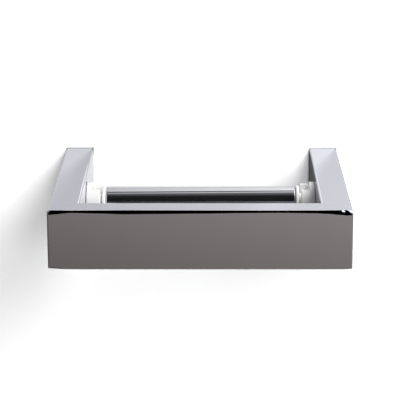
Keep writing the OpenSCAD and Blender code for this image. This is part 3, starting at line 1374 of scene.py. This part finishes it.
@dataclass
class Wall:
    """The white wall: opaque from the room, clear from behind, and lightened and darkened by place with
    painted light and shade for the camera and the chrome.

    Each list of stops holds places along the wall and levels. Heights are measured from the holder's
    middle, or from the arm's top where that is said.
    """

    half_width: float = 0.6
    low: float = -0.45
    high: float = 0.15
    gap: float = 0.5 * MM
    # Light that started within this many gaps of the wall passes through it
    touching: float = 1.6
    colour: Rgb = (0.90, 0.90, 0.90)
    # Painted light: how much the wall's colour is lifted for the camera, by place, which sets how deep the
    # lamp's shadows look beside the holder, below it and above it
    seen_beside: Stops = (
        (-0.100, 2.55), (-0.085, 2.75), (-0.066, 2.8), (-0.063, 1.6), (0.025, 1.6), (0.048, 1.95),
        (0.056, 2.35), (0.064, 2.55), (0.078, 1.7), (0.120, 1.7))
    seen_below: Stops = (
        (-0.110, 2.6), (-0.060, 2.4), (0.000, 2.26), (0.030, 2.05), (0.048, 1.85), (0.064, 1.6),
        (0.080, 1.45), (0.110, 1.6))
    seen_above: Stops = ((-0.100, 2.4), (-0.050, 2.2), (0.050, 1.9), (0.080, 1.7))
    # The heights over which the levels below give way to those beside
    seen_rise: Point2 = (-50 * MM, -20 * MM)
    # The heights from the arm's top over which the levels beside give way to those above
    seen_top: Point2 = (-4 * MM, 4 * MM)
    # Far below the holder the level rises again: from, to, factor
    seen_far: Point3 = (-0.110, -0.190, 1.2)
    mirrored_level: float = 1.04
    # Mirror images of mirror images of the wall, whose rays are deeper than this, get painted shade: dimmer,
    # most to the left
    twice_depth: float = 1.5
    mirrored_twice: Stops = ((-0.060, 0.04), (0.000, 0.12), (0.055, 0.35))
    # Beyond this the chrome sees the room beside the wall and below it: ranges, and what is left
    mirrored_side: Point2 = (0.20, 0.25)
    mirrored_foot: Point2 = (-0.20, -0.15)
    mirrored_rest: float = 0.2
    # Painted light and shade on the wall between the arms as their inner faces mirror it: lighter by the left
    # arm, darker by the right one, fading out round the arm's top
    inner_painted_levels: Stops = ((-0.064, 1.3), (-0.048, 1.0), (0.035, 1.0), (0.055, 0.5))
    inner_fade: Point2 = (-4 * MM, 2 * MM)
    # Painted light on the wall just over the roller, which the roller mirrors as brighter lines, and the
    # heights where that comes and goes
    over_painted_levels: Stops = ((-0.062, 1.0), (-0.056, 1.8), (0.000, 1.5), (0.050, 1.35), (0.056, 1.0))
    over_rise: Point2 = (21 * MM, 25 * MM)
    over_fall: Point2 = (40 * MM, 46 * MM)
    # Painted light on the wall in place of what the arms' tops throw up from the key lamp: level, lean to the
    # left for each step up by side, softness for each step up, least rise, and heights and level at which it
    # thins out
    glow_level: float = 1.30
    glow_lean: Point2 = (1.0, 0.85)
    glow_spread: float = 0.6
    glow_start: float = 0.5 * MM
    glow_fade: Point3 = (8 * MM, 40 * MM, 0.5)
    # Painted shade round each arm's end, a dark line where it meets the wall: its reach, its levels by side
    # at the top and lower down, and the heights from the arm's top between which they change
    painted_contact_shade_reach: Point2 = (0.1 * MM, 0.7 * MM)
    painted_contact_shade_top: Point2 = (0.30, 0.5)
    painted_contact_shade_low: Point2 = (0.9, 0.4)
    painted_contact_shade_rise: Point2 = (-6 * MM, -1 * MM)

    def __post_init__(self) -> None:
        """Starts the material and reads the height of the arms' tops from a CAD node."""
        self.paint, self.graph = bare_material("wall_paint")
        self.x, _, self.z = self.graph.axes("Object")
        self.arm_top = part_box("right_arm")[1].z

    def build(self) -> None:
        """Builds the wall."""
        self.mix_paint()
        corners = [(x, self.gap, z) for x, z in rectangle(self.half_width, self.low, self.high)]
        stage_sheet("wall", corners, self.paint)

    def mix_paint(self) -> None:
        """Joins every level into the wall's material."""
        graph = self.graph
        path = graph.add("ShaderNodeLightPath").outputs
        twice = graph.math("GREATER_THAN", path["Ray Depth"], self.twice_depth)
        dimmed = graph.where(twice, graph.profile(self.x, self.mirrored_twice))
        mirrored = graph.product(self.mirrored(), dimmed, self.mirrored_level)
        gain = graph.product(graph.where(path["Is Camera Ray"], self.seen()),
                             graph.where(path["Is Glossy Ray"], mirrored))
        # Each arm adds painted light over its top and painted shade round its end
        for side in Side:
            gain = graph.product(gain, graph.where(self.glow(side), self.glow_level), self.painted_contact_shade(side))
        paint = graph.add("ShaderNodeBsdfDiffuse", {"Color": graph.scaled(self.colour, gain)})
        clear = graph.add("ShaderNodeBsdfTransparent")
        behind = graph.add("ShaderNodeNewGeometry").outputs["Backfacing"]
        touching = graph.math("LESS_THAN", path["Ray Length"], self.touching * self.gap)
        either = graph.math("MAXIMUM", behind, touching)
        graph.surface(graph.mix_shader(either, paint.outputs[0], clear.outputs[0]))

    def seen(self) -> Socket:
        """How much brighter than its paint the camera sees the wall, a painted light that changes by place.

        Returns:
            The level.
        """
        graph, x, z = self.graph, self.x, self.z
        start, end, factor = self.seen_far
        below = graph.product(graph.profile(x, self.seen_below), graph.smooth(z, start, end, (1.0, factor)))
        lower = graph.mix(graph.smooth(z, *self.seen_rise), below, graph.profile(x, self.seen_beside))
        low, high = (self.arm_top + step for step in self.seen_top)
        return graph.mix(graph.smooth(z, low, high), lower, graph.profile(x, self.seen_above))

    def mirrored(self) -> Socket:
        """How much of the wall's light the chrome sees, with painted light and shade between the arms and
        over the roller.

        Returns:
            The level.
        """
        graph, x, z = self.graph, self.x, self.z
        across = graph.smooth(graph.math("ABSOLUTE", x), *self.mirrored_side, (1.0, self.mirrored_rest))
        down = graph.smooth(z, *self.mirrored_foot, (self.mirrored_rest, 1.0))
        low, high = (self.arm_top + step for step in self.inner_fade)
        inner = graph.where(graph.smooth(z, low, high, (1.0, 0.0)), graph.profile(x, self.inner_painted_levels))
        band = graph.within(z, self.over_rise, self.over_fall)
        over = graph.where(band, graph.profile(x, self.over_painted_levels))
        return graph.product(across, down, inner, over)

    def glow(self, side: Side) -> Socket:
        """Painted light on the wall, in place of what an arm's polished top throws up on it away from the key
        lamp.

        Args:
            side: which arm.

        Returns:
            1 where the whole lamp is mirrored, 0 where none is.
        """
        graph = self.graph
        low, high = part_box(f"{side.word}_arm")
        half = (high.x - low.x) / 2
        rise = graph.math("MAXIMUM", graph.math("SUBTRACT", self.z, high.z), self.glow_start)
        leaned = graph.math("MULTIPLY_ADD", rise, side.of(self.glow_lean), self.x)
        away = graph.math("ABSOLUTE", graph.math("SUBTRACT", leaned, (low.x + high.x) / 2))
        edges = [graph.math("MULTIPLY_ADD", rise, sign * self.glow_spread, half) for sign in (-1, 1)]
        above = graph.math("GREATER_THAN", self.z, high.z)
        start, end, left = self.glow_fade
        return graph.product(graph.smooth(away, *edges, (1.0, 0.0)), above,
                             graph.smooth(rise, start, end, (1.0, left)))

    def painted_contact_shade(self, side: Side) -> Socket:
        """The painted shade on the wall round an arm's end, a dark line where the arm meets the wall.

        Args:
            side: which arm.

        Returns:
            1 away from the arm, less close to it.
        """
        graph = self.graph
        low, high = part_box(f"{side.word}_arm")
        away = graph.math("ABSOLUTE", graph.math("SUBTRACT", self.x, (low.x + high.x) / 2))
        across = graph.math("SUBTRACT", away, (high.x - low.x) / 2)
        up = graph.math("SUBTRACT", graph.math("ABSOLUTE", self.z), high.z)
        line = graph.smooth(graph.math("MAXIMUM", across, up), *self.painted_contact_shade_reach, (1.0, 0.0))
        levels = (side.of(self.painted_contact_shade_low), side.of(self.painted_contact_shade_top))
        start, end = (high.z + step for step in self.painted_contact_shade_rise)
        return graph.where(line, graph.smooth(self.z, start, end, levels))


class RoomLight(Enum):
    """The colours that the chrome sees in the room."""

    BEHIND = (0.75, 0.75, 0.78)
    ABOVE = (0.95, 0.95, 0.98)
    DARK = (0.0, 0.0, 0.0)
    FAR = (0.315, 0.289, 0.253)
    NEAR = (0.356, 0.325, 0.285)
    FLOOR = (0.237, 0.215, 0.188)
    BELOW = (0.26, 0.25, 0.24)
    LEFT_FLANK = (0.08, 0.08, 0.085)
    RIGHT_FLANK = (0.50, 0.50, 0.52)
    LEFT_CEILING = (0.22, 0.22, 0.23)
    RIGHT_CEILING = (0.48, 0.48, 0.50)
    WINDOW = (1.9, 1.9, 1.95)


@dataclass
class Room:
    """What is round the holder: white to the camera, plain to matt surfaces, dark and light to the chrome.

    Angles are in degrees round the X axis. They start level behind the wall, pass overhead and come down
    in front. Sideways reaches are the X of a direction of length 1.
    """

    ambient: Rgb = (0.225, 0.225, 0.225)
    white: Rgb = (1.0, 1.0, 1.0)
    bands: tuple[tuple[float, RoomLight], ...] = (
        (0, RoomLight.BEHIND), (40, RoomLight.BEHIND), (46, RoomLight.ABOVE), (80, RoomLight.ABOVE),
        (94, RoomLight.DARK), (177.4, RoomLight.DARK), (178.6, RoomLight.FAR), (190, RoomLight.NEAR),
        (195.5, RoomLight.NEAR), (198, RoomLight.FLOOR), (215, RoomLight.FLOOR), (270, RoomLight.BELOW),
        (335, RoomLight.BEHIND))
    # How much lighter the room is to the right, and the least and greatest factor
    slope: float = 2.0
    slope_limits: Point2 = (0.6, 1.25)
    flank_reach: Point2 = (0.45, 0.9)
    ceiling_reach: Point2 = (0.22, 0.45)
    ceiling_rise: Point2 = (75, 95)
    ceiling_fall: Point2 = (165, 178)
    window_reach: Point2 = (0.19, 0.23)
    window_rise: Point2 = (45, 55)
    window_fall: Point2 = (112, 122)

    def build(self) -> None:
        """Builds the world."""
        world = bpy.data.worlds.new("room")
        world.use_nodes = True
        world.node_tree.nodes.clear()
        bpy.context.scene.world = world
        graph = Graph(world.node_tree)
        path = graph.add("ShaderNodeLightPath").outputs
        colours = (rgba(self.ambient), self.colour(graph), rgba(self.white))
        ambient, room, white = (graph.chain("ShaderNodeBackground", colour) for colour in colours)
        unseen = graph.mix_shader(path["Is Glossy Ray"], ambient, room)
        final = graph.mix_shader(path["Is Camera Ray"], unseen, white)
        graph.add("ShaderNodeOutputWorld", {"Surface": final})

    def colour(self, graph: Graph) -> Socket:
        """What the chrome sees of the room.

        Args:
            graph: the world's graph.

        Returns:
            The colour for a direction.
        """
        x, y, z = graph.axes("Generated")
        turns = graph.math("DIVIDE", graph.math("ARCTAN2", z, y), 2 * math.pi)
        turn = graph.math("FRACT", graph.math("ADD", turns, 1.0))
        angle = graph.product(turn, 360.0)
        bands = graph.ramp(turn, [(degrees / 360, light.value) for degrees, light in self.bands])
        slope = graph.math("MULTIPLY_ADD", x, self.slope, 1.0)
        least, greatest = self.slope_limits
        slope = graph.math("MINIMUM", graph.math("MAXIMUM", slope, least), greatest)
        away = graph.math("ABSOLUTE", x)
        right = graph.smooth(x, -1.0, 1.0)
        flank = self.from_left(graph, right, RoomLight.LEFT_FLANK, RoomLight.RIGHT_FLANK)
        ceiling = self.from_left(graph, right, RoomLight.LEFT_CEILING, RoomLight.RIGHT_CEILING)
        high_up = graph.within(angle, self.ceiling_rise, self.ceiling_fall)
        overhead = graph.within(angle, self.window_rise, self.window_fall)
        seen = graph.mix(graph.smooth(away, *self.flank_reach), graph.scaled(bands, slope), flank)
        seen = graph.mix(graph.product(high_up, graph.smooth(away, *self.ceiling_reach)), seen, ceiling)
        window = graph.product(overhead, graph.smooth(x, *self.window_reach))
        return graph.mix(window, seen, rgba(RoomLight.WINDOW.value))

    @staticmethod
    def from_left(graph: Graph, share: Socket, left: RoomLight, right: RoomLight) -> Socket:
        """A colour that changes from the left to the right."""
        return graph.mix(share, rgba(left.value), rgba(right.value))


@dataclass
class Studio:
    """The camera, the lamps and the cards that the chrome mirrors."""

    camera_place: Point3 = (0.00479, -1.05865, 0.27520)
    # Degrees that the camera looks down
    camera_drop: float = 15.385
    lens: float = 165.3
    shift_x: float = -0.02318
    clip_start: float = 0.01
    key_place: Point3 = (0.428, -0.433, 0.488)
    key_size: Point2 = (0.595, 0.779)
    key_power: float = 8.8
    back_place: Point3 = (0.35, 1.3, 0.35)
    back_size: Point2 = (1.0, 1.0)
    back_power: float = 30.0
    canopy_height: float = 0.06
    canopy_half_width: float = 0.062
    canopy_reach: Point2 = (-0.008, -0.112)
    # Degrees by which its stripes are turned, and how much lighter it is for each metre to the right
    canopy_turn: float = 7.1
    canopy_slope: float = 3.6
    # Where the canopy is light and dark: distance from the wall, level
    canopy_stops: Stops = (
        (-0.008, 0.98), (-0.025, 1.06), (-0.0555, 1.12), (-0.058, 0.06), (-0.0645, 0.06), (-0.0665, 0.76),
        (-0.0740, 0.72), (-0.0775, 0.18), (-0.086, 0.15), (-0.092, 0.10), (-0.100, 0.03), (-0.112, 0.0))
    apron_height: float = 14 * MM
    apron_half_width: float = 0.4
    apron_reach: Point2 = (-0.142, -0.500)
    apron_level: float = 0.36

    def build(self) -> None:
        """Builds everything that is not the object."""
        centre = (cad_low + cad_high) / 2
        self.make_camera()
        self.make_lamp("key_lamp", Vector(self.key_place), centre, self.key_size, self.key_power)
        self.make_lamp("back_fill", Vector(self.back_place), centre, self.back_size, self.back_power)
        Wall().build()
        self.make_canopy()
        self.make_apron()
        Room().build()

    def make_camera(self) -> None:
        """Places the camera where the photograph was taken from."""
        data = bpy.data.cameras.new("camera")
        data.lens = self.lens
        data.shift_x = self.shift_x
        data.clip_start = self.clip_start
        camera = bpy.data.objects.new("camera", data)
        camera.location = self.camera_place
        camera.rotation_euler = (math.radians(90 - self.camera_drop), 0.0, 0.0)
        bpy.context.scene.collection.objects.link(camera)
        bpy.context.scene.camera = camera

    def make_lamp(self, name: str, place: Vector, aim: Vector, size: Point2, power: float) -> None:
        """Adds one soft lamp that neither the camera nor the chrome sees.

        Args:
            name: its name.
            place: where it stands.
            aim: the point that it faces.
            size: its width and height.
            power: its power in watts.
        """
        data = bpy.data.lights.new(name, "AREA")
        data.shape = "RECTANGLE"
        data.size, data.size_y = size
        data.energy = power
        made = bpy.data.objects.new(name, data)
        made.location = place
        made.rotation_mode = "QUATERNION"
        made.rotation_quaternion = (aim - place).to_track_quat("-Z", "Y")
        made.visible_camera = False
        made.visible_glossy = False
        bpy.context.scene.collection.objects.link(made)

    def make_card(self, name: str, corners: Sequence[Point2], height: float) -> tuple[Piece, Graph]:
        """Adds a level card that only mirrors and gloss see.

        Args:
            name: its name.
            corners: its corners in its own plane.
            height: its height.

        Returns:
            The card and the graph of its material, which has no shader yet.
        """
        material, graph = bare_material(f"{name}_light")
        made = stage_sheet(name, [(x, y, 0.0) for x, y in corners], material)
        made.location.z = height
        made.visible_camera = False
        made.visible_diffuse = False
        made.visible_shadow = False
        return made, graph

    def make_canopy(self) -> None:
        """Hangs a striped card over the roller, for the bright and dark lines along its chrome."""
        turn = math.radians(self.canopy_turn)
        corners = [Matrix.Rotation(-turn, 2) @ Vector(corner)
                   for corner in rectangle(self.canopy_half_width, *self.canopy_reach)]
        card, graph = self.make_card("canopy", corners, self.canopy_height)
        card.rotation_euler.z = turn
        x, y, _ = graph.axes("Object")
        sloped = graph.math("MULTIPLY_ADD", x, self.canopy_slope, 1.0)
        level = graph.product(sloped, graph.profile(y, self.canopy_stops))
        graph.surface(graph.add("ShaderNodeEmission", {"Strength": level}).outputs[0])

    def make_apron(self) -> None:
        """Lays a card level before the bar, which lights its front face for views from below."""
        corners = rectangle(self.apron_half_width, *self.apron_reach)
        _, graph = self.make_card("apron", corners, self.apron_height)
        light = graph.add("ShaderNodeEmission", {"Strength": self.apron_level}).outputs[0]
        clear = graph.add("ShaderNodeBsdfTransparent").outputs[0]
        above = graph.add("ShaderNodeNewGeometry").outputs["Backfacing"]
        graph.surface(graph.mix_shader(above, light, clear))


def write_sizes() -> None:
    low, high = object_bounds()
    corners = [tuple(round(value / MM, 2) for value in corner) for corner in (low, high)]
    log.info("visual box %s to %s", *corners)


def main() -> None:
    """Builds the studio and the holder, and reports each piece."""
    logging.basicConfig(level=logging.INFO, format="%(message)s")
    bpy.context.scene.view_settings.view_transform = "Standard"
    Studio().build()
    materials = Materials()
    for part in (HolderFrame(), Cradle(Side.LEFT), Cradle(Side.RIGHT), Roller(), Fittings()):
        part.build(materials)
    write_sizes()


if __name__ == "__main__":
    main()
